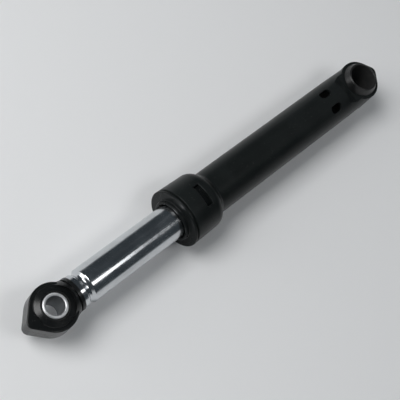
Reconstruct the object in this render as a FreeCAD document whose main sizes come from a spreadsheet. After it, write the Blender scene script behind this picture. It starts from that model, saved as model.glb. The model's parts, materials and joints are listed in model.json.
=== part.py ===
"""Washing machine shock absorber: a friction damper with an eye at each end.

Millimetres. The origin is the centre of the housing's eye, +X runs along the damper to the plunger's eye,
and +Z runs along the bores of both eyes.
"""
import FreeCAD
import Part
import Sketcher
import math
import os
import re

SIZES = {
    # The damper as it lies, and how far it opens from there
    "eye_distance": 245.0,
    "opening_travel": 25.0,
    # Clearances
    "press_clearance": 0.03,
    "running_clearance": 0.05,
    "loose_clearance": 0.3,
    "rolled_clearance": 0.08,
    # Plunger tube
    "rod_radius": 10.0,
    "rod_wall": 1.0,
    "rod_tail_length": 3.0,
    "ring_groove_depth": 0.9,
    "ring_groove_width": 4.0,
    "groove_flank": 0.8,
    "crimp_depth": 1.6,
    "crimp_flank": 1.6,
    "crimp_width": 1.2,
    "lip_depth": 0.5,
    "lip_length": 2.6,
    "roll_round": 0.7,
    # Guide ring
    "ring_length": 8.0,
    "ring_slit_width": 1.2,
    "ring_edge_chamfer": 0.4,
    # Housing: tube, floor, lug and eye
    "bore_gap": 1.2,
    "tube_wall": 1.8,
    "lug_length": 18.7,
    "floor_thickness": 5.0,
    "lug_half_height": 8.5,
    "lug_rise": 2.0,
    "lug_taper": 0.3,
    "lug_edge_round": 0.8,
    "lug_nub_reach": 15.6,
    "lug_nub_round": 4.0,
    # Housing: collar at the mouth
    "collar_wall": 2.25,
    "collar_start": 132.3,
    "collar_slope_length": 4.5,
    "collar_front": 155.8,
    "collar_draft": 0.6,
    "collar_shoulder_round": 6.0,
    "collar_foot_round": 2.5,
    "collar_edge_round": 0.5,
    # Housing: latch windows and vent holes
    "window_start": 141.3,
    "window_length": 3.9,
    "window_width": 13.0,
    "window_edge_round": 0.4,
    "vent_place": 30.7,
    "vent_length": 8.6,
    "vent_width": 4.5,
    "vent_spacing": 10.8,
    # Bush in the housing's eye
    "housing_pin_radius": 8.0,
    "housing_bush_wall": 1.4,
    "housing_bush_rim_width": 1.4,
    "housing_bush_foot_height": 0.4,
    "housing_bush_crown_width": 1.0,
    "housing_bush_half_length": 12.8,
    "housing_bush_crown_round": 0.6,
    "housing_bush_mouth_round": 0.5,
    # Guide cap
    "seam_width": 1.2,
    "seam_depth": 1.0,
    "cap_flange_length": 1.1,
    "cap_flange_overhang": 0.1,
    "cap_ring_length": 2.1,
    "cap_ring_width": 2.2,
    "cap_edge_round": 0.6,
    "cap_bore_gap": 0.35,
    "cap_mouth_chamfer": 0.5,
    "cap_wall": 1.6,
    "cage_length": 15.9,
    "cage_wall": 1.5,
    "cage_lip_length": 1.5,
    "tongue_length": 10.5,
    "tongue_slot_width": 1.2,
    "hook_height": 1.3,
    # Friction lining
    "lining_thickness": 3.6,
    "lining_slit_width": 1.0,
    # Bush and sleeve in the plunger's eye
    "bolt_radius": 5.0,
    "sleeve_wall": 1.7,
    "sleeve_half_length": 9.0,
    "sleeve_edge_chamfer": 0.5,
    "rubber_lip_wall": 1.1,
    "rubber_wall": 2.2,
    "rubber_half_length": 7.9,
    "rubber_seat_half_length": 4.5,
    # Plunger eye
    "ball_radius": 12.8,
    "face_half_height": 8.3,
    "face_radius": 11.0,
    "face_drop": 1.4,
    "neck_reach": 11.6,
    "neck_slit_width": 1.2,
    "neck_slit_depth": 1.4,
    "neck_flange_width": 2.0,
    "neck_flange_step": 0.2,
    "shank_tail_length": 11.0,
    "barrel_radius": 13.1,
    "barrel_half_height": 6.3,
    "barrel_back": 9.0,
    "barrel_edge_round": 0.6,
    "nub_shelf": 10.2,
    "nub_reach": 18.2,
    "nub_round": 3.4,
}

# How closely an edge must match the place or the direction that is asked for
SAME_PLACE = 0.01
SAME_DIRECTION = 1e-3
FULL_TURN = 360

# Radii that several pieces share, as expressions over the sizes
BORE = "(rod_radius + bore_gap)"
TUBE = f"({BORE} + tube_wall)"
LUG = f"({TUBE} - lug_taper)"
CAP_BORE = "(rod_radius + cap_bore_gap)"
CAGE_INSIDE = "(rod_radius + lining_thickness)"
CAGE_OUTSIDE = f"({CAGE_INSIDE} + cage_wall)"
CAVITY = f"({CAGE_OUTSIDE} + loose_clearance / 2)"
COLLAR = f"({CAVITY} + collar_wall)"
BUSH_SEAT = "(housing_pin_radius + housing_bush_wall)"
SLEEVE = "(bolt_radius + sleeve_wall)"
RUBBER_LIP = f"({SLEEVE} + rubber_lip_wall)"
RUBBER_SEAT = f"({SLEEVE} + rubber_wall)"

# Places along the damper that several pieces share
CAGE_FLOOR = "(collar_front - cage_length - loose_clearance)"
CAGE_REAR = "(collar_front - cage_length)"
CAGE_LIP_END = f"({CAGE_REAR} + cage_lip_length)"
FLANGE_FRONT = "(collar_front + seam_width + cap_flange_length)"
CAGE_FRONT = f"({FLANGE_FRONT} - cap_wall)"
RING_FRONT = f"({CAGE_REAR} - opening_travel - loose_clearance)"
RING_REAR = f"({RING_FRONT} - ring_length)"
RING_MIDDLE = f"({RING_FRONT} - ring_length / 2)"
LIP_REACH = "(neck_reach + neck_slit_width + neck_flange_width)"
CRIMP_END = f"({LIP_REACH} + lip_length)"
CRIMP_START = f"({CRIMP_END} + 2 * crimp_flank + crimp_width)"

doc = FreeCAD.newDocument("washing_machine_shock_absorber")
sheet = doc.addObject("Spreadsheet::Sheet", "sizes")
for row, (alias, size) in enumerate(SIZES.items(), start=1):
    sheet.set(f"A{row}", alias)
    sheet.set(f"B{row}", str(size))
    sheet.setAlias(f"B{row}", alias)
doc.recompute()


def over_sheet(text):
    """Names the sheet before each alias of an expression."""
    return re.sub(r"[a-z_]+", lambda word: f"sizes.{word[0]}" if word[0] in SIZES else word[0], text)


def number(text):
    """The value of an expression over the sizes."""
    value = sheet.evalExpression(over_sheet(text))
    return float(getattr(value, "Value", value))


def bind(thing, name, text):
    """Ties a property to an expression over the sizes."""
    thing.setExpression(name, over_sheet(text))


def new_body(label, place="0"):
    """A body whose own origin lies on the damper's axis at the given place."""
    body = doc.addObject("PartDesign::Body", label)
    body.Label = label
    bind(body, "Placement.Base.x", place)
    return body


def origin_of(body, role):
    """One of the body's own origin planes or axes."""
    return next(feature for feature in body.Origin.OriginFeatures if feature.Role == role)


def new_sketch(body, name, plane):
    """An empty sketch on one of the body's origin planes."""
    sketch = body.newObject("Sketcher::SketchObject", name)
    sketch.AttachmentSupport = (origin_of(body, plane), [""])
    sketch.MapMode = "FlatFace"
    return sketch


def pin_point(sketch, geometry, end, across, up):
    """Holds one end of a line, or an arc's centre, at a place given by two expressions."""
    for kind, text, axis in (("DistanceX", across, -2), ("DistanceY", up, -1)):
        if text == "0":
            sketch.addConstraint(Sketcher.Constraint("PointOnObject", geometry, end, axis))
            continue
        index = sketch.addConstraint(Sketcher.Constraint(kind, -1, 1, geometry, end, number(text)))
        bind(sketch, f"Constraints[{index}]", text)


def size_round(sketch, geometry, text):
    """Binds the radius of a circle or an arc."""
    index = sketch.addConstraint(Sketcher.Constraint("Radius", geometry, number(text)))
    bind(sketch, f"Constraints[{index}]", text)


def add_outline(sketch, corners):
    """A closed outline of straight runs through corners given as pairs of expressions."""
    places = [FreeCAD.Vector(number(across), number(up), 0) for across, up in corners]
    first = sketch.GeometryCount
    count = len(places)
    for index in range(count):
        sketch.addGeometry(Part.LineSegment(places[index], places[(index + 1) % count]), False)
    for index in range(count):
        following = first + (index + 1) % count
        sketch.addConstraint(Sketcher.Constraint("Coincident", first + index, 2, following, 1))
    for index, (across, up) in enumerate(corners):
        pin_point(sketch, first + index, 1, across, up)


def add_rectangle(sketch, left, right, low, high):
    """A rectangle between two places across and two places up."""
    add_outline(sketch, [(left, low), (right, low), (right, high), (left, high)])


def add_circle(sketch, across, up, radius):
    """A circle about a place."""
    middle = FreeCAD.Vector(number(across), number(up), 0)
    normal = FreeCAD.Vector(0, 0, 1)
    geometry = sketch.addGeometry(Part.Circle(middle, normal, number(radius)), False)
    pin_point(sketch, geometry, 3, across, up)
    size_round(sketch, geometry, radius)


def add_slot(sketch, middle, up, length, width):
    """A slot with round ends, lying along the sketch's first axis."""
    reach = f"({length} - {width}) / 2"
    radius = f"{width} / 2"
    ends = []
    for side, start in ((-1, math.pi / 2), (1, -math.pi / 2)):
        across = f"{middle} + {side} * {reach}"
        centre = FreeCAD.Vector(number(across), number(up), 0)
        circle = Part.Circle(centre, FreeCAD.Vector(0, 0, 1), number(radius))
        arc = Part.ArcOfCircle(circle, start, start + math.pi)
        geometry = sketch.addGeometry(arc, False)
        pin_point(sketch, geometry, 3, across, up)
        ends.append((geometry, arc))
    (left, left_arc), (right, right_arc) = ends
    low = sketch.addGeometry(Part.LineSegment(left_arc.EndPoint, right_arc.StartPoint), False)
    high = sketch.addGeometry(Part.LineSegment(right_arc.EndPoint, left_arc.StartPoint), False)
    sketch.addConstraint(Sketcher.Constraint("Tangent", left, 2, low, 1))
    sketch.addConstraint(Sketcher.Constraint("Tangent", low, 2, right, 1))
    sketch.addConstraint(Sketcher.Constraint("Tangent", right, 2, high, 1))
    sketch.addConstraint(Sketcher.Constraint("Tangent", high, 2, left, 1))
    size_round(sketch, left, radius)


def revolve(body, sketch, name, axis, angle=None):
    """Turns a sketch about one of the body's axes, all the way round or over an angle about its plane."""
    feature = body.newObject("PartDesign::Revolution", name)
    feature.Profile = sketch
    feature.ReferenceAxis = (origin_of(body, axis), [""])
    feature.Angle = FULL_TURN
    if angle:
        bind(feature, "Angle", angle)
        feature.Midplane = True
    doc.recompute()
    return feature


def pad(body, sketch, name, length):
    """Raises a sketch evenly to both sides of its plane."""
    feature = body.newObject("PartDesign::Pad", name)
    feature.Profile = sketch
    feature.SideType = "Symmetric"
    bind(feature, "Length", length)
    doc.recompute()
    return feature


def cut_through(body, sketch, name, side="Symmetric"):
    """Cuts a sketch through everything, to both sides of its plane or to one."""
    before = body.Shape.Volume
    feature = body.newObject("PartDesign::Pocket", name)
    feature.Profile = sketch
    feature.SideType = side
    feature.Type = "ThroughAll"
    if side == "Symmetric":
        feature.Type2 = "ThroughAll"
    doc.recompute()
    if not body.Shape.Volume < before:
        raise RuntimeError(f"{body.Label}: {name} cuts nothing")
    return feature


def turn_away(body, sketch, name, axis):
    """Cuts a sketch turned all the way round one of the body's axes."""
    before = body.Shape.Volume
    feature = body.newObject("PartDesign::Groove", name)
    feature.Profile = sketch
    feature.ReferenceAxis = (origin_of(body, axis), [""])
    feature.Angle = FULL_TURN
    doc.recompute()
    if not body.Shape.Volume < before:
        raise RuntimeError(f"{body.Label}: {name} cuts nothing")
    return feature


def mirror(body, originals, name, plane):
    """Repeats features on the other side of an origin plane."""
    feature = body.newObject("PartDesign::Mirrored", name)
    feature.Originals = originals
    feature.MirrorPlane = (origin_of(body, plane), [""])
    body.Tip = feature
    doc.recompute()
    return feature


def rings_at(body, axis, place, radius):
    """Names of the body's round edges about an axis at a place along it, with a radius."""
    names = []
    for index, edge in enumerate(body.Tip.Shape.Edges, start=1):
        curve = edge.Curve
        if curve.TypeId != "Part::GeomCircle":
            continue
        along = getattr(curve.Center, axis)
        turned = abs(getattr(curve.Axis, axis))
        if not math.isclose(turned, 1, rel_tol=SAME_DIRECTION):
            continue
        if max(abs(along - place), abs(curve.Radius - radius)) < SAME_PLACE:
            names.append(f"Edge{index}")
    return names


def edges_in_plane(body, axis, place):
    """Names of the body's edges that lie in a plane square to an axis."""
    names = []
    for index, edge in enumerate(body.Tip.Shape.Edges, start=1):
        if all(abs(getattr(end.Point, axis) - place) < SAME_PLACE for end in edge.Vertexes):
            names.append(f"Edge{index}")
    return names


def edges_outside(body, radius, start, end):
    """Names of the body's edges beyond a radius about the damper's axis, between two places along it."""
    names = []
    for index, edge in enumerate(body.Tip.Shape.Edges, start=1):
        points = [vertex.Point for vertex in edge.Vertexes]
        beyond = all(math.hypot(point.y, point.z) > radius for point in points)
        within = all(start - SAME_PLACE < point.x < end + SAME_PLACE for point in points)
        if beyond and within:
            names.append(f"Edge{index}")
    return names


def ease(body, name, kind, amount, edges):
    """Fillets or chamfers named edges by an amount from the sizes."""
    if not edges:
        raise RuntimeError(f"{body.Label}: {name} finds no edge")
    base = body.Tip
    feature = body.newObject(f"PartDesign::{kind}", name)
    feature.Base = (base, edges)
    bind(feature, "Radius" if kind == "Fillet" else "Size", amount)
    body.Tip = feature
    doc.recompute()
    return feature


def ease_rings(body, name, kind, amount, axis, rings):
    """Fillets or chamfers the round edges at places and radii given as pairs of expressions."""
    edges = []
    for place, radius in rings:
        edges += rings_at(body, axis, number(place), number(radius))
    return ease(body, name, kind, amount, edges)


def raise_barrel(body, radius, half_height, reach, tip_round, edge_round, side=""):
    """A barrel about the bore with a pointed nub, whose flanks leave the barrel without a crease."""
    barrel = new_sketch(body, "barrel_outline", "XY_Plane")
    add_circle(barrel, "0", "0", radius)
    pad(body, barrel, "barrel_raised", f"2 * {half_height}")
    nub = new_sketch(body, "nub_outline", "XY_Plane")
    root = f"{side}({radius} ^ 2 / {reach})"
    half_root = f"{radius} * sqrt(1 - ({radius} / {reach}) ^ 2)"
    tip = f"{side}{reach}"
    add_outline(nub, [("0", "0"), (root, f"-{half_root}"), (tip, "0"), (root, half_root)])
    pad(body, nub, "nub_raised", f"2 * {half_height}")
    ease(body, "nub_tip", "Fillet", tip_round, edges_in_plane(body, "x", number(tip)))
    height = number(half_height)
    rims = edges_in_plane(body, "z", height) + edges_in_plane(body, "z", -height)
    ease(body, "barrel_edges", "Fillet", edge_round, rims)


def make_housing():
    """The black moulding: tube, collar, flat lug with its eye, vents and latch windows."""
    body = new_body("housing")
    raise_barrel(body, LUG, "lug_half_height", "lug_nub_reach", "lug_nub_round", "lug_edge_round", "-")
    slope_end = "collar_start + collar_slope_length"
    shoulder = f"{COLLAR} - collar_draft"
    floor = "lug_length + floor_thickness"
    wall = new_sketch(body, "housing_wall", "XY_Plane")
    add_outline(wall, [
        ("0", "0"), ("0", LUG), ("lug_length", TUBE), ("collar_start", TUBE),
        (slope_end, shoulder), ("collar_front", COLLAR), ("collar_front", CAVITY),
        (CAGE_FLOOR, CAVITY), (CAGE_FLOOR, BORE), (floor, BORE), (floor, "0"),
    ])
    revolve(body, wall, "housing_turned", "X_Axis")
    ease_rings(body, "housing_shoulder", "Fillet", "collar_shoulder_round", "x", [(slope_end, shoulder)])
    ease_rings(body, "housing_foot", "Fillet", "collar_foot_round", "x", [("collar_start", TUBE)])
    ease_rings(body, "housing_mouth", "Fillet", "collar_edge_round", "x", [("collar_front", COLLAR)])

    flats = new_sketch(body, "lug_flats", "XZ_Plane")
    beyond = f"2 * {TUBE}"
    raised = "lug_half_height + lug_rise"
    for side in ("", "-"):
        add_outline(flats, [
            (f"-{beyond}", f"{side}lug_half_height"), (LUG, f"{side}lug_half_height"),
            ("lug_length", f"{side}({raised})"), ("lug_length", f"{side}{beyond}"),
            (f"-{beyond}", f"{side}{beyond}"),
        ])
    cut_through(body, flats, "lug_flattened")

    seat = new_sketch(body, "eye_seat", "XY_Plane")
    add_circle(seat, "0", "0", BUSH_SEAT)
    cut_through(body, seat, "eye_bored")

    vents = new_sketch(body, "vent_slots", "XY_Plane")
    add_slot(vents, "vent_place", "vent_spacing / 2", "vent_length", "vent_width")
    add_slot(vents, "vent_place", "-vent_spacing / 2", "vent_length", "vent_width")
    cut_through(body, vents, "vents_cut")

    windows = new_sketch(body, "latch_windows", "XY_Plane")
    window_end = "window_start + window_length"
    add_rectangle(windows, "window_start", window_end, "-window_width / 2", "window_width / 2")
    cut_through(body, windows, "windows_cut")
    halfway = f"{CAVITY} + (collar_wall - collar_draft) / 2"
    rims = edges_outside(body, number(halfway), number("window_start"), number(window_end))
    ease(body, "window_rims", "Fillet", "window_edge_round", rims)
    return body


def make_housing_eye_bush():
    """The ring pressed in the housing's eye, with a sloped rim on each face of the lug."""
    body = new_body("housing_eye_bush")
    waist = f"{BUSH_SEAT} - press_clearance"
    rim = f"{BUSH_SEAT} + housing_bush_rim_width"
    shelf = "lug_half_height + press_clearance"
    foot = f"{shelf} + housing_bush_foot_height"
    crown = "housing_pin_radius + housing_bush_crown_width"
    top = "housing_bush_half_length"
    section = new_sketch(body, "bush_section", "XZ_Plane")
    add_outline(section, [
        ("housing_pin_radius", f"-{top}"), (crown, f"-{top}"),
        (rim, f"-({foot})"), (rim, f"-({shelf})"), (waist, f"-({shelf})"),
        (waist, shelf), (rim, shelf), (rim, foot), (crown, top), ("housing_pin_radius", top),
    ])
    revolve(body, section, "bush_turned", "Z_Axis")
    ease_rings(body, "bush_crowns", "Fillet", "housing_bush_crown_round", "z", [
        (top, crown), (f"-{top}", crown),
    ])
    ease_rings(body, "bush_mouths", "Fillet", "housing_bush_mouth_round", "z", [
        (top, "housing_pin_radius"), (f"-{top}", "housing_pin_radius"),
    ])
    return body


def make_guide_cap():
    """The cap at the collar's mouth: flange, wiper ring, cage for the lining and two latch tongues."""
    body = new_body("guide_cap")
    seam_end = "collar_front + seam_width"
    seam = f"{COLLAR} - seam_depth"
    flange = f"{COLLAR} + cap_flange_overhang"
    ring = "rod_radius + cap_ring_width"
    front = f"{FLANGE_FRONT} + cap_ring_length"
    section = new_sketch(body, "cap_section", "XY_Plane")
    add_outline(section, [
        (CAGE_REAR, CAP_BORE), (CAGE_REAR, CAGE_OUTSIDE), ("collar_front", CAGE_OUTSIDE),
        ("collar_front", seam), (seam_end, seam), (seam_end, flange), (FLANGE_FRONT, flange),
        (FLANGE_FRONT, ring), (front, ring), (front, CAP_BORE), (CAGE_FRONT, CAP_BORE),
        (CAGE_FRONT, CAGE_INSIDE), (CAGE_LIP_END, CAGE_INSIDE), (CAGE_LIP_END, CAP_BORE),
    ])
    revolve(body, section, "cap_turned", "X_Axis")
    ease_rings(body, "cap_edges", "Fillet", "cap_edge_round", "x", [
        (FLANGE_FRONT, flange), (FLANGE_FRONT, ring), (front, ring),
    ])
    ease_rings(body, "cap_mouth", "Chamfer", "cap_mouth_chamfer", "x", [(front, CAP_BORE)])

    slots = new_sketch(body, "tongue_slots", "XY_Plane")
    inner = "(window_width / 2)"
    outer = f"({inner} + tongue_slot_width)"
    root = f"{CAGE_REAR} + tongue_length"
    behind = f"{CAGE_REAR} - tongue_slot_width"
    add_rectangle(slots, behind, root, inner, outer)
    add_rectangle(slots, behind, root, f"-{outer}", f"-{inner}")
    cut_through(body, slots, "tongues_freed")

    hook = new_sketch(body, "hook_section", "XZ_Plane")
    hook_back = "window_start + loose_clearance"
    hook_front = "window_start + window_length - loose_clearance"
    hook_root = f"{CAGE_OUTSIDE} - cage_wall / 2"
    hook_tip = f"({CAGE_OUTSIDE} + hook_height)"
    add_outline(hook, [
        (hook_back, hook_root), (hook_front, hook_root), (hook_front, hook_tip), (hook_back, CAGE_OUTSIDE),
    ])
    hook_turn = f"2 * atan((window_width / 2 - loose_clearance) / {hook_tip})"
    turned = revolve(body, hook, "hook_turned", "X_Axis", hook_turn)
    mirror(body, [turned], "hook_opposite", "XY_Plane")
    return body


def make_friction_lining():
    """The foam strip bent to a ring in the cap's cage, open at one slit."""
    body = new_body("friction_lining")
    start = f"({CAGE_LIP_END} + press_clearance)"
    end = f"({CAGE_FRONT} - press_clearance)"
    inner = "rod_radius + running_clearance"
    outer = f"{CAGE_INSIDE} - press_clearance"
    section = new_sketch(body, "lining_section", "XY_Plane")
    add_rectangle(section, start, end, inner, outer)
    revolve(body, section, "lining_turned", "X_Axis")
    slit = new_sketch(body, "lining_slit", "XZ_Plane")
    add_rectangle(slit, f"{start} - lining_slit_width", f"{end} + lining_slit_width",
                  "-lining_slit_width / 2", "lining_slit_width / 2")
    cut_through(body, slit, "lining_parted", "One side")
    return body


def make_plunger_tube():
    """The bright steel tube: a rolled groove for the guide ring inside, a rolled neck and lip at the eye."""
    body = new_body("plunger_tube")
    tail = f"{RING_REAR} - rod_tail_length"
    groove_from = f"({RING_MIDDLE} - ring_groove_width / 2)"
    groove_to = f"({RING_MIDDLE} + ring_groove_width / 2)"
    floor = "rod_radius - ring_groove_depth"
    neck_from = f"(eye_distance - {CRIMP_START})"
    neck_to = f"(eye_distance - {CRIMP_END})"
    crimp = "rod_radius - crimp_depth"
    lip = "rod_radius - lip_depth"
    outside = [
        (tail, "rod_radius"),
        (f"{groove_from} - groove_flank", "rod_radius"), (groove_from, floor),
        (groove_to, floor), (f"{groove_to} + groove_flank", "rod_radius"),
        (neck_from, "rod_radius"), (f"{neck_from} + crimp_flank", crimp),
        (f"{neck_to} - crimp_flank", crimp), (neck_to, lip),
        (f"eye_distance - {LIP_REACH}", lip),
    ]
    inside = [(place, f"{radius} - rod_wall") for place, radius in reversed(outside)]
    section = new_sketch(body, "tube_section", "XY_Plane")
    add_outline(section, outside + inside)
    revolve(body, section, "tube_turned", "X_Axis")
    rolled = outside[1:-1]
    ease_rings(body, "tube_rolled", "Fillet", "roll_round", "x",
               rolled + [(place, f"{radius} - rod_wall") for place, radius in rolled])
    return body


def make_plunger_guide_ring():
    """The split ring clipped in the tube's inner groove; it runs in the housing's bore."""
    body = new_body("plunger_guide_ring")
    half_rib = "(ring_groove_width / 2 - loose_clearance)"
    rib = "rod_radius - ring_groove_depth + running_clearance"
    band = "rod_radius + running_clearance"
    outer = f"{BORE} - running_clearance"
    section = new_sketch(body, "ring_section", "XY_Plane")
    add_outline(section, [
        (RING_REAR, band), (RING_REAR, outer), (RING_FRONT, outer), (RING_FRONT, band),
        (f"{RING_MIDDLE} + {half_rib}", band), (f"{RING_MIDDLE} + {half_rib}", rib),
        (f"{RING_MIDDLE} - {half_rib}", rib), (f"{RING_MIDDLE} - {half_rib}", band),
    ])
    revolve(body, section, "ring_turned", "X_Axis")
    ease_rings(body, "ring_edges", "Chamfer", "ring_edge_chamfer", "x",
               [(RING_REAR, outer), (RING_FRONT, outer)])
    slit = new_sketch(body, "ring_slit", "XZ_Plane")
    add_rectangle(slit, f"{RING_REAR} - ring_slit_width", f"{RING_FRONT} + ring_slit_width",
                  "-ring_slit_width / 2", "ring_slit_width / 2")
    cut_through(body, slit, "ring_parted", "One side")
    return body


def add_ball_outline(sketch, run):
    """Closes a run of corners with the ball's arc, which the last straight run meets without a crease."""
    places = [FreeCAD.Vector(number(across), number(up), 0) for across, up in run]
    ball = number("ball_radius")
    last = places[-1]
    turn = math.atan2(last.y, last.x) - math.acos(ball / last.Length)
    touch = FreeCAD.Vector(ball * math.cos(turn), ball * math.sin(turn), 0)
    pole = FreeCAD.Vector(ball, 0, 0)
    corners = places + [touch]
    for start, end in zip(corners, corners[1:]):
        sketch.addGeometry(Part.LineSegment(start, end), False)
    for index in range(len(places) - 1):
        sketch.addConstraint(Sketcher.Constraint("Coincident", index, 2, index + 1, 1))
    taper = len(places) - 1
    circle = Part.Circle(FreeCAD.Vector(0, 0, 0), FreeCAD.Vector(0, 0, 1), ball)
    arc = sketch.addGeometry(Part.ArcOfCircle(circle, 0, turn), False)
    base = sketch.addGeometry(Part.LineSegment(pole, places[0]), False)
    sketch.addConstraint(Sketcher.Constraint("Tangent", taper, 2, arc, 2))
    sketch.addConstraint(Sketcher.Constraint("Coincident", arc, 3, -1, 1))
    sketch.addConstraint(Sketcher.Constraint("PointOnObject", arc, 1, -1))
    sketch.addConstraint(Sketcher.Constraint("Coincident", arc, 1, base, 1))
    sketch.addConstraint(Sketcher.Constraint("Coincident", base, 2, 0, 1))
    size_round(sketch, arc, "ball_radius")
    for index, (across, up) in enumerate(run):
        pin_point(sketch, index, 1, across, up)


def make_plunger_eye():
    """The black ball eye with its neck, flange and the shank that the tube is rolled on to."""
    body = new_body("plunger_eye", "eye_distance")
    beyond = "2 * ball_radius"
    raise_barrel(body, "barrel_radius", "barrel_half_height", "nub_reach", "nub_round", "barrel_edge_round")
    behind = new_sketch(body, "barrel_behind", "XY_Plane")
    add_rectangle(behind, f"-{beyond}", "-barrel_back", f"-{beyond}", beyond)
    cut_through(body, behind, "barrel_trimmed")

    shank = "rod_radius - rod_wall - rolled_clearance"
    waist = f"{shank} - crimp_depth"
    lip = f"{shank} - lip_depth"
    flange = "rod_radius - neck_flange_step"
    slit = "rod_radius - neck_slit_depth"
    slit_end = "(neck_reach + neck_slit_width)"
    neck = new_sketch(body, "eye_section", "XY_Plane")
    tail = f"-({CRIMP_START} + shank_tail_length)"
    add_ball_outline(neck, [
        (tail, "0"), (tail, shank), (f"-{CRIMP_START}", shank),
        (f"-({CRIMP_START} - crimp_flank)", waist), (f"-({CRIMP_END} + crimp_flank)", waist),
        (f"-{CRIMP_END}", lip), (f"-({LIP_REACH} - press_clearance)", lip),
        (f"-({LIP_REACH} - press_clearance)", flange), (f"-{slit_end}", flange), (f"-{slit_end}", slit),
        ("-neck_reach", slit), ("-neck_reach", "rod_radius"),
    ])
    revolve(body, neck, "eye_turned", "X_Axis")

    shelves = new_sketch(body, "nub_shelves", "XZ_Plane")
    for side in ("", "-"):
        add_outline(shelves, [
            ("nub_shelf", f"{side}barrel_half_height"), (beyond, f"{side}barrel_half_height"),
            (beyond, f"{side}{beyond}"), ("nub_shelf", f"{side}{beyond}"),
        ])
    cut_through(body, shelves, "tip_shelved")

    faces = new_sketch(body, "sloped_faces", "XZ_Plane")
    for side in ("", "-"):
        add_outline(faces, [
            ("0", f"{side}face_half_height"), (RUBBER_LIP, f"{side}face_half_height"),
            ("face_radius", f"{side}(face_half_height - face_drop)"), ("face_radius", f"{side}{beyond}"),
            ("0", f"{side}{beyond}"),
        ])
    turn_away(body, faces, "eye_faced", "Z_Axis")

    bore = new_sketch(body, "bush_bore", "XY_Plane")
    add_circle(bore, "0", "0", RUBBER_LIP)
    cut_through(body, bore, "eye_bored")
    seat = new_sketch(body, "bush_seat", "XZ_Plane")
    add_rectangle(seat, "0", RUBBER_SEAT, "-rubber_seat_half_length", "rubber_seat_half_length")
    turn_away(body, seat, "eye_recessed", "Z_Axis")
    return body


def make_plunger_eye_bush():
    """The rubber ring between the eye and its sleeve."""
    body = new_body("plunger_eye_bush", "eye_distance")
    inner = f"{SLEEVE} + running_clearance"
    lip = f"{RUBBER_LIP} - press_clearance"
    belly = f"{RUBBER_SEAT} - press_clearance"
    belly_end = "rubber_seat_half_length - press_clearance"
    end = "rubber_half_length"
    section = new_sketch(body, "rubber_section", "XZ_Plane")
    add_outline(section, [
        (inner, f"-{end}"), (lip, f"-{end}"), (lip, f"-({belly_end})"), (belly, f"-({belly_end})"),
        (belly, belly_end), (lip, belly_end), (lip, end), (inner, end),
    ])
    revolve(body, section, "rubber_turned", "Z_Axis")
    return body


def make_plunger_eye_sleeve():
    """The steel sleeve for the bolt."""
    body = new_body("plunger_eye_sleeve", "eye_distance")
    end = "sleeve_half_length"
    section = new_sketch(body, "sleeve_section", "XZ_Plane")
    add_rectangle(section, "bolt_radius", SLEEVE, f"-{end}", end)
    revolve(body, section, "sleeve_turned", "Z_Axis")
    ease_rings(body, "sleeve_edges", "Chamfer", "sleeve_edge_chamfer", "z", [
        (end, "bolt_radius"), (f"-{end}", "bolt_radius"), (end, SLEEVE), (f"-{end}", SLEEVE),
    ])
    return body


def check(bodies):
    """Stops if any object failed or any sub-part is not one sound solid."""
    for thing in doc.Objects:
        if {"Invalid", "Error"} & set(thing.State):
            raise RuntimeError(f"{thing.Label} failed: {thing.State}")
    for body in bodies:
        shape = body.Shape
        if shape.isNull() or not shape.isValid() or len(shape.Solids) != 1:
            raise RuntimeError(f"{body.Label} is not one sound solid")


def write(bodies):
    """Writes each sub-part to its own file."""
    os.makedirs("parts", exist_ok=True)
    for body in bodies:
        body.Shape.exportStep(f"parts/{body.Label}.step")
        box = body.Shape.BoundBox
        print(f"{body.Label}: {body.Shape.Volume:.0f} mm3, x {box.XMin:.2f} to {box.XMax:.2f}")


parts = [
    make_housing(),
    make_housing_eye_bush(),
    make_guide_cap(),
    make_friction_lining(),
    make_plunger_tube(),
    make_plunger_guide_ring(),
    make_plunger_eye(),
    make_plunger_eye_bush(),
    make_plunger_eye_sleeve(),
]
doc.recompute()
check(parts)
write(parts)
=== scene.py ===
"""Washing machine shock absorber: finishes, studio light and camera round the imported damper.

Metres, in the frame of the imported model: the origin is the centre of the housing's eye, +X runs along the
damper to the plunger's eye, and +Z runs along the bores of both eyes. The finishes give their sizes in
millimetres. The scene adds no pieces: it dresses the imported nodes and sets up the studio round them.
"""

import json
import logging
from dataclasses import dataclass
from enum import Enum

import bmesh
import bpy
from mathutils import Matrix, Vector


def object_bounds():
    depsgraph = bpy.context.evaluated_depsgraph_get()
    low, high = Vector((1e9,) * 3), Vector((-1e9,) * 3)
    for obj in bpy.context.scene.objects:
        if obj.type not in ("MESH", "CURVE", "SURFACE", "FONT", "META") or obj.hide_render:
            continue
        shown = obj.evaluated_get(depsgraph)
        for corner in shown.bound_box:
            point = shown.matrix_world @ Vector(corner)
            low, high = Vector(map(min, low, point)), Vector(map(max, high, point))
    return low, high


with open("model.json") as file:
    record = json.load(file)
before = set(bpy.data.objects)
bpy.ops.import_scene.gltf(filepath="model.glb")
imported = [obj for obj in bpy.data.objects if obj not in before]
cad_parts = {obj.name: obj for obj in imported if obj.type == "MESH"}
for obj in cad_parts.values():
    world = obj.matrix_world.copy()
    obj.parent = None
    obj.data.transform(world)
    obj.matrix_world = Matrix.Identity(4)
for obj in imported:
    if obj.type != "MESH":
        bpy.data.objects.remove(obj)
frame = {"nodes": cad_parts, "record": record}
CAD_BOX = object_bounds()

LOG = logging.getLogger("damper")
MM = 0.001
PER_MM = 1.0 / MM

Colour = tuple[float, float, float]
Paint = tuple[float, float, float, float]
Point = tuple[float, float, float]
Span = tuple[float, float]

BLACK: Paint = (0.0, 0.0, 0.0, 1.0)


class Grain(Enum):
    """The direction that fine lines run in, as the stretch of the noise along X, Y and Z."""

    ALONG_DAMPER = (0.01, 1.0, 1.0)
    ROUND_BORE = (0.02, 0.02, 1.0)


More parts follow.
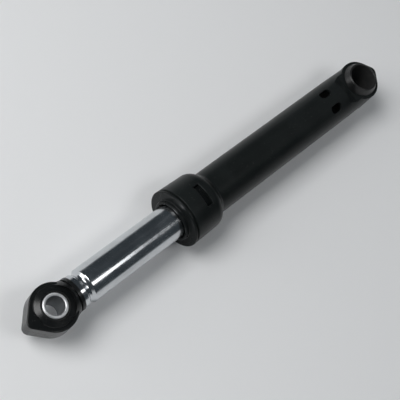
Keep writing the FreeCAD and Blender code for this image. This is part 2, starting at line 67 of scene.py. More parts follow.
class Mount(Enum):
    """The damper's two mounts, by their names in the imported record."""

    HOUSING_EYE = "housing_eye"
    PLUNGER_EYE = "plunger_eye"


@dataclass(frozen=True)
class Bore:
    """A bore along Z, by the place of its axis along the damper and its radius. Metres."""

    centre: float
    radius: float

    @classmethod
    def of(cls, mount: Mount) -> "Bore":
        """Reads a mount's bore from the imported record.

        Args:
            mount: The mount.

        Returns:
            Its bore.
        """
        entry = next(entry for entry in frame["record"]["mounts"] if entry["name"] == mount.value)
        return cls(entry["pos_m"][0], entry["dims"]["r_mm"] * MM)


def opaque(colour: Colour) -> Paint:
    """Returns a colour at full opacity, as a colour socket takes it."""
    return (*colour, 1.0)


def dimmed(colour: Colour, share: float) -> Paint:
    """Returns the given share of a colour's brightness, at full opacity."""
    return opaque(tuple(channel * share for channel in colour))


class NodeTree:
    """A thin hand on a node tree: makes nodes, sets their sockets and links them."""

    # A Mix node has sockets for each kind of value. These are the share, both colours and the mixed colour.
    mix_inputs = (0, 6, 7)
    mix_output = 2

    def __init__(self, tree: bpy.types.NodeTree) -> None:
        """Holds the tree that is built."""
        self.tree = tree

    def add(self, kind: str, settings: dict | None = None, **sockets: object) -> bpy.types.Node:
        """Adds a node.

        Args:
            kind: The node's Blender type name.
            settings: The node's own properties.
            sockets: Input sockets by name, each with a value or an output socket to link from. An underscore
                stands for a space.

        Returns:
            The new node.
        """
        node = self.tree.nodes.new(kind)
        for name, value in (settings or {}).items():
            setattr(node, name, value)
        for name, value in sockets.items():
            self.feed(node.inputs[name.replace("_", " ")], value)
        return node

    def feed(self, socket: bpy.types.NodeSocket, value: object) -> None:
        """Links an output to a socket, or sets the socket's own value.

        Args:
            socket: The input socket.
            value: A plain value, or the output socket to link from.
        """
        if isinstance(value, bpy.types.NodeSocket):
            self.tree.links.new(value, socket)
        else:
            socket.default_value = value

    def math(self, operation: str, *values: object) -> bpy.types.NodeSocket:
        """Adds a Math node.

        Args:
            operation: Blender's name of the sum.
            values: Its inputs in order, numbers or output sockets.

        Returns:
            The result's socket.
        """
        node = self.add("ShaderNodeMath", {"operation": operation})
        for socket, value in zip(node.inputs, values):
            self.feed(socket, value)
        return node.outputs[0]

    def vector_math(self, operation: str, *values: object) -> bpy.types.NodeOutputs:
        """Adds a Vector Math node.

        Args:
            operation: Blender's name of the sum.
            values: Its inputs in order, vectors or output sockets.

        Returns:
            The node's outputs.
        """
        node = self.add("ShaderNodeVectorMath", {"operation": operation})
        for socket, value in zip(node.inputs, values):
            self.feed(socket, value)
        return node.outputs

    def ramp(self, value: object, low: object, high: object, to_low: float = 0.0,
             to_high: float = 1.0) -> bpy.types.NodeSocket:
        """Maps a value smoothly from one range on to another.

        Args:
            value: The input, a number or an output socket.
            low: The input that gives to_low, a number or an output socket.
            high: The input that gives to_high, a number or an output socket.
            to_low: The output at the low end.
            to_high: The output at the high end.

        Returns:
            The result's socket.
        """
        node = self.add("ShaderNodeMapRange", {"interpolation_type": "SMOOTHSTEP"})
        for name, entry in (("Value", value), ("From Min", low), ("From Max", high),
                            ("To Min", to_low), ("To Max", to_high)):
            self.feed(node.inputs[name], entry)
        return node.outputs["Result"]

    def mix(self, share: object, first: object, second: object) -> bpy.types.NodeSocket:
        """Mixes two colours.

        Args:
            share: How much of the second colour shows.
            first: A colour of four numbers, or an output socket.
            second: The same.

        Returns:
            The mixed colour's socket.
        """
        node = self.add("ShaderNodeMix", {"data_type": "RGBA"})
        for index, entry in zip(self.mix_inputs, (share, first, second)):
            self.feed(node.inputs[index], entry)
        return node.outputs[self.mix_output]

    def off_bore(self, place: bpy.types.NodeSocket, bore: Bore) -> bpy.types.NodeSocket:
        """Measures how far a point is from the axis of a bore.

        Args:
            place: The object coordinates.
            bore: The bore.

        Returns:
            The distance's socket.
        """
        parts = self.add("ShaderNodeSeparateXYZ", Vector=place).outputs
        aside = self.math("SUBTRACT", parts["X"], bore.centre)
        along = self.math("MULTIPLY", aside, aside)
        across = self.math("MULTIPLY", parts["Y"], parts["Y"])
        return self.math("SQRT", self.math("ADD", along, across))

    def emboss(self, shader: bpy.types.Node, height: bpy.types.NodeSocket, strength: float = 1.0) -> None:
        """Gives a shader a fine relief.

        Args:
            shader: The shader node.
            height: The relief's height in metres.
            strength: How much of it shows.
        """
        bump = self.add("ShaderNodeBump", Strength=strength, Distance=1.0, Height=height)
        self.feed(shader.inputs["Normal"], bump.outputs["Normal"])


class Effect:
    """A shared surface effect: a shader node group that is built once and placed in many materials."""

    title = "effect"
    inputs: dict[str, float] = {}
    outputs: tuple[str, ...] = ()

    @classmethod
    def group(cls) -> bpy.types.NodeTree:
        """Builds the group on its first use.

        Returns:
            The group's node tree.
        """
        known = bpy.data.node_groups.get(cls.title)
        if known:
            return known
        tree = bpy.data.node_groups.new(cls.title, "ShaderNodeTree")
        tree.interface.new_socket("Place", in_out="INPUT", socket_type="NodeSocketVector")
        for name, usual in cls.inputs.items():
            socket = tree.interface.new_socket(name, in_out="INPUT", socket_type="NodeSocketFloat")
            socket.default_value = usual
        for name in cls.outputs:
            tree.interface.new_socket(name, in_out="OUTPUT", socket_type="NodeSocketFloat")
        hand = NodeTree(tree)
        source = hand.add("NodeGroupInput")
        sink = hand.add("NodeGroupOutput")
        for name, socket in cls.wire(hand, source.outputs).items():
            tree.links.new(socket, sink.inputs[name])
        return tree

    @classmethod
    def wire(cls, hand: NodeTree, given: bpy.types.NodeOutputs) -> dict[str, bpy.types.NodeSocket]:
        """Wires the group's inside.

        Args:
            hand: The hand on the group's tree.
            given: The group's own inputs.

        Returns:
            The socket that feeds each named output.
        """
        raise NotImplementedError

    @classmethod
    def place(cls, hand: NodeTree, place: bpy.types.NodeSocket, **values: float) -> bpy.types.NodeOutputs:
        """Places the effect in a material.

        Args:
            hand: The hand on the material's tree.
            place: The coordinates that the effect follows.
            values: The effect's inputs for this material, with an underscore for a space.

        Returns:
            The effect's outputs.
        """
        node = hand.add("ShaderNodeGroup", {"node_tree": cls.group()}, Place=place, **values)
        return node.outputs


class MouldedSkin(Effect):
    """The fine sparkle of a mould's eroded face, with broad, faint flow of the plastic. Millimetres."""

    title = "moulded_skin"
    inputs = {"Grain Size": 0.3, "Flow Size": 18.0}
    outputs = ("Grain", "Flow")
    grain_detail = 3.0
    grain_roughness = 0.6
    flow_detail = 4.0
    flow_distortion = 0.8

    @classmethod
    def wire(cls, hand: NodeTree, given: bpy.types.NodeOutputs) -> dict[str, bpy.types.NodeSocket]:
        """Wires fine noise for the grain and broad noise for the flow.

        Args:
            hand: The hand on the group's tree.
            given: The group's own inputs.

        Returns:
            The sockets of the grain and the flow.
        """
        grain = hand.add("ShaderNodeTexNoise", Vector=given["Place"], Detail=cls.grain_detail,
                         Scale=hand.math("DIVIDE", PER_MM, given["Grain Size"]),
                         Roughness=cls.grain_roughness)
        flow = hand.add("ShaderNodeTexNoise", Vector=given["Place"], Detail=cls.flow_detail,
                        Scale=hand.math("DIVIDE", PER_MM, given["Flow Size"]),
                        Distortion=cls.flow_distortion)
        return {"Grain": grain.outputs["Fac"], "Flow": flow.outputs["Fac"]}


class PartingLine(Effect):
    """The hairline where the two halves of the mould met, in the plane square to the bores. Millimetres."""

    title = "parting_line"
    inputs = {"Width": 0.35}
    outputs = ("Line",)

    @classmethod
    def wire(cls, hand: NodeTree, given: bpy.types.NodeOutputs) -> dict[str, bpy.types.NodeSocket]:
        """Wires a narrow smooth ridge about the plane midway between the bores' ends.

        Args:
            hand: The hand on the group's tree.
            given: The group's own inputs.

        Returns:
            The ridge's socket.
        """
        parts = hand.add("ShaderNodeSeparateXYZ", Vector=given["Place"])
        away = hand.math("ABSOLUTE", parts.outputs["Z"])
        half_width = hand.math("MULTIPLY", given["Width"], MM / 2)
        return {"Line": hand.ramp(away, half_width, 0.0)}


class Handling(Effect):
    """Marks of handling: hairline scuffs that run mostly one way, and dust on upward faces. Millimetres."""

    title = "handling"
    inputs = {"Scuff Size": 9.0, "Scuff Share": 0.36, "Dust Size": 0.9, "Dust Share": 0.3}
    outputs = ("Scuff", "Dust")
    patch_detail = 2.0
    patch_top = 0.95
    patch_edge: Span = (-0.08, 0.12)
    hair_turn: Point = (0.3, 0.5, 0.2)
    hair_stretch: Point = (0.05, 1.0, 1.0)
    hairs_in_patch = 14.0
    hair_detail = 5.0
    hair_edge: Span = (0.60, 0.72)
    speck_edge: Span = (0.16, 0.04)
    upward_edge: Span = (0.1, 0.9)

    @classmethod
    def wire(cls, hand: NodeTree, given: bpy.types.NodeOutputs) -> dict[str, bpy.types.NodeSocket]:
        """Wires the scuffs and the dust.

        Args:
            hand: The hand on the group's tree.
            given: The group's own inputs.

        Returns:
            The sockets of the scuffs and the dust.
        """
        return {"Scuff": cls.scuffs(hand, given), "Dust": cls.dust(hand, given)}

    @classmethod
    def scuffs(cls, hand: NodeTree, given: bpy.types.NodeOutputs) -> bpy.types.NodeSocket:
        """Wires stretched noise under a patchy mask.

        Args:
            hand: The hand on the group's tree.
            given: The group's own inputs.

        Returns:
            The scuffs' socket.
        """
        patch_scale = hand.math("DIVIDE", PER_MM, given["Scuff Size"])
        patch = hand.add("ShaderNodeTexNoise", Vector=given["Place"], Scale=patch_scale,
                         Detail=cls.patch_detail)
        drawn = hand.add("ShaderNodeMapping", Vector=given["Place"], Rotation=cls.hair_turn,
                         Scale=cls.hair_stretch)
        hair = hand.add("ShaderNodeTexNoise", Vector=drawn.outputs["Vector"], Detail=cls.hair_detail,
                        Scale=hand.math("MULTIPLY", patch_scale, cls.hairs_in_patch))
        lines = hand.ramp(hair.outputs["Fac"], *cls.hair_edge)
        start = hand.math("SUBTRACT", cls.patch_top, given["Scuff Share"])
        where = hand.ramp(hand.math("SUBTRACT", patch.outputs["Fac"], start), *cls.patch_edge)
        return hand.math("MULTIPLY", lines, where)

    @classmethod
    def dust(cls, hand: NodeTree, given: bpy.types.NodeOutputs) -> bpy.types.NodeSocket:
        """Wires specks, a share of which lie on upward faces.

        Args:
            hand: The hand on the group's tree.
            given: The group's own inputs.

        Returns:
            The dust's socket.
        """
        speck = hand.add("ShaderNodeTexVoronoi", Vector=given["Place"], Randomness=1.0,
                         Scale=hand.math("DIVIDE", PER_MM, given["Dust Size"]))
        dots = hand.ramp(speck.outputs["Distance"], *cls.speck_edge)
        pick = hand.add("ShaderNodeSeparateColor", Color=speck.outputs["Color"])
        chosen = hand.math("LESS_THAN", pick.outputs["Red"], given["Dust Share"])
        normal = hand.add("ShaderNodeTexCoord").outputs["Normal"]
        facing = hand.add("ShaderNodeSeparateXYZ", Vector=normal)
        upward = hand.ramp(facing.outputs["Z"], *cls.upward_edge)
        return hand.math("MULTIPLY", hand.math("MULTIPLY", dots, chosen), upward)


class FineLines(Effect):
    """The fine lines that drawing or turning leaves in metal, along or round a piece. Millimetres."""

    title = "fine_lines"
    inputs = {"Spacing": 0.25, "Stretch X": 1.0, "Stretch Y": 1.0, "Stretch Z": 1.0}
    outputs = ("Lines", "Blotch")
    line_detail = 4.0
    line_roughness = 0.65
    blotches_per_mm = 0.12
    blotch_detail = 3.0

    @classmethod
    def wire(cls, hand: NodeTree, given: bpy.types.NodeOutputs) -> dict[str, bpy.types.NodeSocket]:
        """Wires noise stretched along the lines, and broad blotches of the plating.

        Args:
            hand: The hand on the group's tree.
            given: The group's own inputs.

        Returns:
            The sockets of the lines and the blotches.
        """
        stretch = hand.add("ShaderNodeCombineXYZ", X=given["Stretch X"], Y=given["Stretch Y"],
                           Z=given["Stretch Z"])
        drawn = hand.vector_math("MULTIPLY", given["Place"], stretch.outputs["Vector"])
        lines = hand.add("ShaderNodeTexNoise", Vector=drawn["Vector"], Detail=cls.line_detail,
                         Scale=hand.math("DIVIDE", PER_MM, given["Spacing"]), Roughness=cls.line_roughness)
        blotch = hand.add("ShaderNodeTexNoise", Vector=given["Place"], Detail=cls.blotch_detail,
                          Scale=cls.blotches_per_mm * PER_MM)
        return {"Lines": lines.outputs["Fac"], "Blotch": blotch.outputs["Fac"]}


class Finish:
    """A finish that can make its own material."""

    name: str

    def start(self) -> tuple[bpy.types.Material, NodeTree, bpy.types.Node, bpy.types.NodeSocket]:
        """Starts a node material with its shader and output alone.

        Returns:
            The material, the hand on its tree, its shader node and the object coordinates.
        """
        material = bpy.data.materials.new(self.name)
        material.use_nodes = True
        material.node_tree.nodes.clear()
        hand = NodeTree(material.node_tree)
        shader = hand.add("ShaderNodeBsdfPrincipled")
        sink = hand.add("ShaderNodeOutputMaterial")
        material.node_tree.links.new(shader.outputs["BSDF"], sink.inputs["Surface"])
        place = hand.add("ShaderNodeTexCoord").outputs["Object"]
        return material, hand, shader, place

    def material(self) -> bpy.types.Material:
        """Makes the material.

        Returns:
            The finished material.
        """
        raise NotImplementedError


@dataclass(frozen=True)
class MouldedPlastic(Finish):
    """Moulded plastic: eroded skin, faint flow, parting line, scuffs and dust. Sizes in millimetres."""

    name: str
    colour: Colour
    worn: Colour
    roughness: float
    gloss: float = 0.3
    grain_size: float = 0.32
    grain_depth: float = 0.012
    line_depth: float = 0.05
    flow_edge: Span = (0.3, 0.7)
    flow_shade: float = 0.8
    sheen_edge: Span = (0.25, 0.75)
    smoother: float = 0.04
    rougher: float = 0.05
    scuff_show: float = 0.35
    scuff_polish: float = 0.08
    dust_share: float = 0.16
    dust_show: float = 0.5
    dust_dulling: float = 0.25
    dust_colour: Colour = (0.30, 0.29, 0.27)

    def material(self) -> bpy.types.Material:
        """Makes the plastic's material.

        Returns:
            The finished material.
        """
        material, hand, shader, place = self.start()
        skin = MouldedSkin.place(hand, place, Grain_Size=self.grain_size)
        marks = Handling.place(hand, place, Dust_Share=self.dust_share)
        seam = PartingLine.place(hand, place)

        flow = hand.ramp(skin["Flow"], *self.flow_edge)
        body = hand.mix(flow, dimmed(self.colour, self.flow_shade), opaque(self.colour))
        scuffed = hand.mix(hand.math("MULTIPLY", marks["Scuff"], self.scuff_show), body, opaque(self.worn))
        dust = hand.math("MULTIPLY", marks["Dust"], self.dust_show)
        hand.feed(shader.inputs["Base Color"], hand.mix(dust, scuffed, opaque(self.dust_colour)))

        sheen = hand.ramp(skin["Flow"], *self.sheen_edge,
                          self.roughness - self.smoother, self.roughness + self.rougher)
        rubbed = hand.math("SUBTRACT", sheen, hand.math("MULTIPLY", marks["Scuff"], self.scuff_polish))
        rough = hand.math("ADD", rubbed, hand.math("MULTIPLY", marks["Dust"], self.dust_dulling))
        hand.feed(shader.inputs["Roughness"], rough)

        grain = hand.math("MULTIPLY", skin["Grain"], self.grain_depth * MM)
        ridge = hand.math("MULTIPLY", seam["Line"], self.line_depth * MM)
        hand.emboss(shader, hand.math("ADD", grain, ridge))
        shader.inputs["Specular IOR Level"].default_value = self.gloss
        return material


@dataclass(frozen=True)
class MouldedRubber(Finish):
    """Black rubber: faintly pitted, greyed in patches by bloom, dull in the housing's bore. Millimetres."""

    name: str
    colour: Colour
    bloom: Colour
    roughness: float
    gloss: float = 0.3
    pit_size: float = 0.45
    pit_depth: float = 0.015
    bloom_size: float = 6.0
    bloom_edge: Span = (0.35, 0.8)
    sheen_edge: Span = (0.25, 0.75)
    smoother: float = 0.05
    rougher: float = 0.07
    bore: Bore = Bore.of(Mount.HOUSING_EYE)
    bore_edge: Span = (0.25, 0.03)
    bore_roughness: float = 0.95
    scuff_size: float = 6.0
    dust_share: float = 0.2
    dust_show: float = 0.4
    dust_colour: Colour = (0.28, 0.27, 0.25)

    def material(self) -> bpy.types.Material:
        """Makes the rubber's material.

        Returns:
            The finished material.
        """
        material, hand, shader, place = self.start()
        skin = MouldedSkin.place(hand, place, Grain_Size=self.pit_size, Flow_Size=self.bloom_size)
        marks = Handling.place(hand, place, Dust_Share=self.dust_share, Scuff_Size=self.scuff_size)

        bloom = hand.ramp(skin["Flow"], *self.bloom_edge)
        body = hand.mix(bloom, opaque(self.colour), opaque(self.bloom))
        dust = hand.math("MULTIPLY", marks["Dust"], self.dust_show)
        hand.feed(shader.inputs["Base Color"], hand.mix(dust, body, opaque(self.dust_colour)))

        sheen = hand.ramp(skin["Flow"], *self.sheen_edge,
                          self.roughness - self.smoother, self.roughness + self.rougher)
        outer, inner = (self.bore.radius + edge * MM for edge in self.bore_edge)
        dull = hand.ramp(hand.off_bore(place, self.bore), outer, inner, 0.0, self.bore_roughness)
        hand.feed(shader.inputs["Roughness"], hand.math("MAXIMUM", sheen, dull))

        hand.emboss(shader, hand.math("MULTIPLY", skin["Grain"], self.pit_depth * MM))
        shader.inputs["Specular IOR Level"].default_value = self.gloss
        return material


@dataclass(frozen=True)
class PlatedSteel(Finish):
    """Plated steel: fine lines one way, blotches in the plating, a few hairline scuffs. Millimetres."""

    name: str
    colour: Colour
    roughness: float
    grain: Grain
    spacing: float
    line_depth: float
    scuff_share: float
    scuff_size: float = 12.0
    scuff_dulling: float = 0.12
    line_edge: Span = (0.3, 0.7)
    smoother: float = 0.04
    rougher: float = 0.06
    blotch_edge: Span = (0.3, 0.7)
    blotch_shade: float = 0.86
    cloud_edge: Span = (0.45, 0.8)
    cloud_dulling: float = 0.06
    dust_share: float = 0.1
    dust_show: float = 0.5
    dust_colour: Colour = (0.42, 0.41, 0.39)

    def material(self) -> bpy.types.Material:
        """Makes the steel's material.

        Returns:
            The finished material.
        """
        material, hand, shader, place = self.start()
        x, y, z = self.grain.value
        lines = FineLines.place(hand, place, Spacing=self.spacing, Stretch_X=x, Stretch_Y=y, Stretch_Z=z)
        marks = Handling.place(hand, place, Scuff_Size=self.scuff_size, Scuff_Share=self.scuff_share,
                               Dust_Share=self.dust_share)

        blotch = hand.ramp(lines["Blotch"], *self.blotch_edge)
        plating = hand.mix(blotch, dimmed(self.colour, self.blotch_shade), opaque(self.colour))
        body = self.tone(hand, place, plating)
        dust = hand.math("MULTIPLY", marks["Dust"], self.dust_show)
        hand.feed(shader.inputs["Base Color"], hand.mix(dust, body, opaque(self.dust_colour)))

        lined = hand.ramp(lines["Lines"], *self.line_edge,
                          self.roughness - self.smoother, self.roughness + self.rougher)
        cloud = hand.ramp(lines["Blotch"], *self.cloud_edge, 0.0, self.cloud_dulling)
        scuffs = hand.math("MULTIPLY", marks["Scuff"], self.scuff_dulling)
        hand.feed(shader.inputs["Roughness"], hand.math("ADD", hand.math("ADD", lined, cloud), scuffs))

        hand.emboss(shader, hand.math("MULTIPLY", lines["Lines"], self.line_depth * MM))
        shader.inputs["Metallic"].default_value = 1.0
        return material

    def tone(self, hand: NodeTree, place: bpy.types.NodeSocket,
             plating: bpy.types.NodeSocket) -> bpy.types.NodeSocket:
        """Returns the plating's colour as it is. A turned sleeve paints shade into its bore and darkens a
        turned line.
        """
        return plating


@dataclass(frozen=True)
class TurnedSleeve(PlatedSteel):
    """Plated steel turned about a bore: painted shade on the bore wall and a fine dark line round each end.
    Millimetres.
    """

    bore: Bore = Bore.of(Mount.PLUNGER_EYE)
    bore_edge: Span = (0.12, 0.02)
    line_offset: float = 0.75
    line_half_width: float = 0.11
    # Colour of the painted shade on the bore wall, and of the turned line.
    dull: Colour = (0.20, 0.21, 0.22)

    def tone(self, hand: NodeTree, place: bpy.types.NodeSocket,
             plating: bpy.types.NodeSocket) -> bpy.types.NodeSocket:
        """Paints shade on the bore's wall and darkens the turned line.

        Args:
            hand: The hand on the material's tree.
            place: The object coordinates.
            plating: The plating's colour.

        Returns:
            The colour with the painted bore shade and the turned line in it.
        """
        radius = hand.off_bore(place, self.bore)
        outer, inner = (self.bore.radius + edge * MM for edge in self.bore_edge)
        # Painted shade: points on the bore's wall take the darker colour, standing for shade inside the bore.
        bore_shade = hand.ramp(radius, outer, inner)
        line_radius = self.bore.radius + self.line_offset * MM
        off_line = hand.math("ABSOLUTE", hand.math("SUBTRACT", radius, line_radius))
        on_line = hand.ramp(off_line, self.line_half_width * MM, 0.0)
        return hand.mix(hand.math("MAXIMUM", bore_shade, on_line), plating, opaque(self.dull))


@dataclass(frozen=True)
class GreasedFoam(Finish):
    """Open foam soaked with grease: dark soaked patches, and painted shade in the pore hollows. Sizes in
    millimetres.
    """

    name: str
    colour: Colour
    # Colour of the soaked grease patches, also painted as shade in the pore hollows.
    wet_and_pore_shade: Colour
    pore_size: float = 0.7
    pore_depth: float = 0.2
    pore_strength: float = 0.8
    pore_edge: Span = (0.1, 0.5)
    soak_size: float = 7.0
    soak_edge: Span = (0.35, 0.65)
    sheen_edge: Span = (0.3, 0.7)
    dry_roughness: float = 0.85
    wet_roughness: float = 0.4

    def material(self) -> bpy.types.Material:
        """Makes the foam's material.

        Returns:
            The finished material.
        """
        material, hand, shader, place = self.start()
        pores = hand.add("ShaderNodeTexVoronoi", Vector=place, Scale=PER_MM / self.pore_size)
        walls = hand.ramp(pores.outputs["Distance"], *self.pore_edge)
        soak = MouldedSkin.place(hand, place, Grain_Size=self.pore_size, Flow_Size=self.soak_size)
        body = hand.mix(hand.ramp(soak["Flow"], *self.soak_edge), opaque(self.colour), opaque(self.wet_and_pore_shade))
        # Painted shade: the pore hollows take the dark soaked colour, the pore walls keep the body's colour.
        hand.feed(shader.inputs["Base Color"], hand.mix(walls, opaque(self.wet_and_pore_shade), body))
        sheen = hand.ramp(soak["Flow"], *self.sheen_edge, self.dry_roughness, self.wet_roughness)
        hand.feed(shader.inputs["Roughness"], sheen)
        hand.emboss(shader, hand.math("MULTIPLY", walls, self.pore_depth * MM), self.pore_strength)
        return material


@dataclass(frozen=True)
class PaleGround(Finish):
    """The plain pale floor: lit by the lamps round the damper, evenly pale by itself further off. Metres."""

    name: str
    colour: Colour
    middle: Point
    cloud_scale: float = 3.0
    cloud_detail: float = 2.0
    cloud_shade: float = 0.985
    lit_reach: float = 0.32
    even_reach: float = 1.0
    glow: Colour = (0.56, 0.565, 0.57)

    def material(self) -> bpy.types.Material:
        """Makes the floor's material.

        Returns:
            The finished material.
        """
        material, hand, shader, place = self.start()
        cloud = hand.add("ShaderNodeTexNoise", Vector=place, Scale=self.cloud_scale, Detail=self.cloud_detail)
        paint = hand.mix(cloud.outputs["Fac"], dimmed(self.colour, self.cloud_shade), opaque(self.colour))
        away = hand.vector_math("DISTANCE", place, self.middle)
        far = hand.ramp(away["Value"], self.lit_reach, self.even_reach)
        hand.feed(shader.inputs["Base Color"], hand.mix(far, paint, BLACK))
        shader.inputs["Roughness"].default_value = 1.0
        shader.inputs["Specular IOR Level"].default_value = 0.0

        path = hand.add("ShaderNodeLightPath").outputs
        mirrored = hand.math("MAXIMUM", path["Is Glossy Ray"], path["Is Transmission Ray"])
        seen = hand.math("MAXIMUM", path["Is Camera Ray"], mirrored)
        lift = hand.mix(hand.math("MULTIPLY", seen, far), BLACK, opaque(self.glow))
        hand.feed(shader.inputs["Emission Color"], lift)
        shader.inputs["Emission Strength"].default_value = 1.0
        return material


HOUSING_PLASTIC = MouldedPlastic(
    "housing_satin_black",
    colour=(0.0108, 0.0132, 0.0132),
    worn=(0.045, 0.047, 0.047),
    roughness=0.33,
    gloss=0.15,
)
CAP_PLASTIC = MouldedPlastic(
    "cap_satin_black",
    colour=(0.0086, 0.0102, 0.0104),
    worn=(0.040, 0.041, 0.042),
    roughness=0.28,
    gloss=0.14,
)
EYE_PLASTIC = MouldedPlastic(
    "eye_semi_gloss_black",
    colour=(0.0080, 0.0088, 0.0092),
    worn=(0.040, 0.040, 0.040),
    roughness=0.25,
)
RING_PLASTIC = MouldedPlastic(
    "natural_bearing_plastic",
    colour=(0.66, 0.65, 0.60),
    worn=(0.5, 0.49, 0.45),
    roughness=0.42,
)
BUSH_RUBBER = MouldedRubber(
    "bush_black_rubber",
    colour=(0.0078, 0.0082, 0.0084),
    bloom=(0.018, 0.018, 0.017),
    roughness=0.32,
    gloss=0.5,
)
LINING_FOAM = GreasedFoam(
    "greased_foam",
    colour=(0.34, 0.28, 0.17),
    wet_and_pore_shade=(0.12, 0.095, 0.055),
)
TUBE_STEEL = PlatedSteel(
    "bright_plated_tube",
    colour=(0.62, 0.64, 0.66),
    roughness=0.15,
    grain=Grain.ALONG_DAMPER,
    spacing=0.30,
    line_depth=0.0010,
    scuff_share=0.40,
)
SLEEVE_STEEL = TurnedSleeve(
    "turned_plated_sleeve",
    colour=(0.95, 0.96, 0.97),
    roughness=0.46,
    grain=Grain.ROUND_BORE,
    spacing=0.18,
    line_depth=0.0012,
    scuff_share=0.30,
)


def dress(node: str, finish: Finish) -> None:
    """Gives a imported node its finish.

    Args:
        node: The node's name.
        finish: The finish.
    """
    material = finish.material()
    mesh = frame["nodes"][node].data
    mesh.materials.clear()
    mesh.materials.append(material)
    LOG.info("%s wears %s", node, material.name)


@dataclass
class HousingAssembly:
    """The outer half of the damper: housing, eye bush, guide cap and lining."""

    shell: Finish = HOUSING_PLASTIC
    bush: Finish = BUSH_RUBBER
    cap: Finish = CAP_PLASTIC
    lining: Finish = LINING_FOAM

    def build(self) -> None:
        """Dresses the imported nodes."""
        dress("housing", self.shell)
        dress("housing_eye_bush", self.bush)
        dress("guide_cap", self.cap)
        dress("friction_lining", self.lining)


@dataclass
class PlungerAssembly:
    """The inner half of the damper: guide ring, tube, ball eye, bush and sleeve."""

    guide_ring: Finish = RING_PLASTIC
    tube: Finish = TUBE_STEEL
    eye: Finish = EYE_PLASTIC
    bush: Finish = BUSH_RUBBER
    sleeve: Finish = SLEEVE_STEEL

    def build(self) -> None:
        """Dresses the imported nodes."""
        dress("plunger_guide_ring", self.guide_ring)
        dress("plunger_tube", self.tube)
        dress("plunger_eye", self.eye)
        dress("plunger_eye_bush", self.bush)
        dress("plunger_eye_sleeve", self.sleeve)


def facing(place: Point, right: Vector, up: Vector, back: Vector) -> Matrix:
    """Works out the matrix of a lamp or camera, which look along their own -Z.

    Args:
        place: Where it stands.
        right: Its own +X.
        up: Its own +Y.
        back: Its own +Z.

    Returns:
        The matrix in the scene.
    """
    turn = Matrix((right, up, back)).transposed()
    return Matrix.Translation(place) @ turn.to_4x4()


@dataclass(frozen=True)
class SoftBox:
    """A soft box that faces the damper's middle. Metres and watts, with its side along the damper first."""

    name: str
    towards: Point
    away: float
    size: Span
    power: float

    def hang(self, middle: Point) -> None:
        """Hangs the lamp.

        Args:
            middle: The damper's middle.
        """
        light = bpy.data.lights.new(self.name, "AREA")
        light.shape = "RECTANGLE"
        light.size, light.size_y = self.size
        light.energy = self.power
        lamp = bpy.data.objects.new(self.name, light)
        bpy.context.scene.collection.objects.link(lamp)
        back = Vector(self.towards).normalized()
        across = back.cross((1.0, 0.0, 0.0)).normalized()
        along = across.cross(back)
        lamp.matrix_world = facing(Vector(middle) + self.away * back, along, across, back)


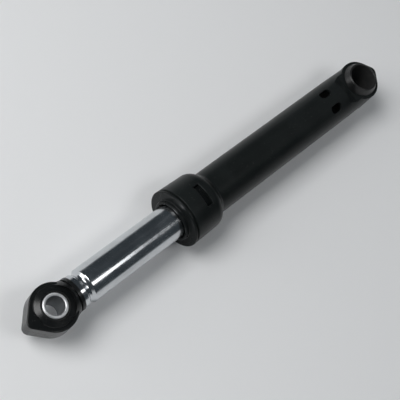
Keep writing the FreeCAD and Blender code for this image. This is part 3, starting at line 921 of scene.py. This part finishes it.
@dataclass
class Studio:
    """Floor, soft lights, pale surround and the camera at the photograph's angle. Metres."""

    middle: Point = (0.12, 0.0, 0.0)
    floor_half: float = 4.0
    floor_colour: Colour = (0.90, 0.905, 0.91)
    zenith: Colour = (0.044, 0.053, 0.060)
    horizon: Colour = (0.58, 0.585, 0.59)
    horizon_rise: Span = (0.02, 0.11)
    key_box: SoftBox = SoftBox("key_box", (0.41, -0.42, 0.81), 1.30, (0.60, 0.60), 8.0)
    rear_panel: SoftBox = SoftBox("rear_panel", (-0.70, 0.0, 0.71), 1.2, (0.45, 1.40), 0.42)
    line_strip: SoftBox = SoftBox("line_strip", (-0.13, 0.40, 0.90), 1.2, (0.60, 0.34), 2.2)
    front_box: SoftBox = SoftBox("front_box", (0.74, -0.54, 0.40), 1.2, (0.60, 1.30), 6.0)
    camera_place: Point = (0.43195, 0.03418, 0.49947)
    camera_look: Point = (-0.50718, -0.05876, -0.85983)
    camera_up: Point = (-0.51398, -0.78021, 0.3565)
    clip_start: float = 0.01
    focal_pixels: float = 1049.0
    image_pixels: float = 400.0
    sensor_mm: float = 36.0

    def build(self) -> None:
        """Builds the whole studio."""
        self.floor()
        self.surround()
        self.lights()
        self.camera()

    def floor(self) -> None:
        """Lays the floor under the damper's lowest point."""
        shape = bmesh.new()
        bmesh.ops.create_grid(shape, x_segments=1, y_segments=1, size=self.floor_half)
        bmesh.ops.translate(shape, verts=shape.verts, vec=(*self.middle[:2], CAD_BOX[0][2]))
        mesh = bpy.data.meshes.new("floor")
        shape.to_mesh(mesh)
        shape.free()
        mesh.materials.append(PaleGround("pale_floor", self.floor_colour, self.middle).material())
        ground = bpy.data.objects.new("floor", mesh)
        bpy.context.scene.collection.objects.link(ground)

    def surround(self) -> None:
        """Fills the surround with a dim even light that pales towards the horizon."""
        world = bpy.data.worlds.new("studio")
        bpy.context.scene.world = world
        world.use_nodes = True
        world.node_tree.nodes.clear()
        hand = NodeTree(world.node_tree)
        direction = hand.add("ShaderNodeTexCoord").outputs["Generated"]
        height = hand.add("ShaderNodeSeparateXYZ", Vector=direction).outputs["Z"]
        upper = hand.ramp(height, *self.horizon_rise)
        colour = hand.mix(upper, opaque(self.horizon), opaque(self.zenith))
        light = hand.add("ShaderNodeBackground", Color=colour, Strength=1.0)
        sink = hand.add("ShaderNodeOutputWorld")
        world.node_tree.links.new(light.outputs["Background"], sink.inputs["Surface"])

    def lights(self) -> None:
        """Hangs the key box, a faint rear panel, a strip that draws the tube's bright line and a front box."""
        for box in (self.key_box, self.rear_panel, self.line_strip, self.front_box):
            box.hang(self.middle)

    def camera(self) -> None:
        """Sets the camera where the photograph was taken from."""
        lens = bpy.data.cameras.new("camera")
        lens.sensor_width = self.sensor_mm
        lens.lens = self.sensor_mm * self.focal_pixels / self.image_pixels
        lens.clip_start = self.clip_start
        eye = bpy.data.objects.new("camera", lens)
        bpy.context.scene.collection.objects.link(eye)
        back = -Vector(self.camera_look).normalized()
        right = Vector(self.camera_up).cross(back).normalized()
        eye.matrix_world = facing(self.camera_place, right, back.cross(right), back)
        bpy.context.scene.camera = eye


def main() -> None:
    """Builds the damper's sub-assemblies and the studio in order."""
    logging.basicConfig(level=logging.INFO, format="%(name)s: %(message)s")
    bpy.context.scene.view_settings.view_transform = "Standard"
    for assembly in (HousingAssembly(), PlungerAssembly(), Studio()):
        assembly.build()
        LOG.info("built %s", type(assembly).__name__)


if __name__ == "__main__":
    main()
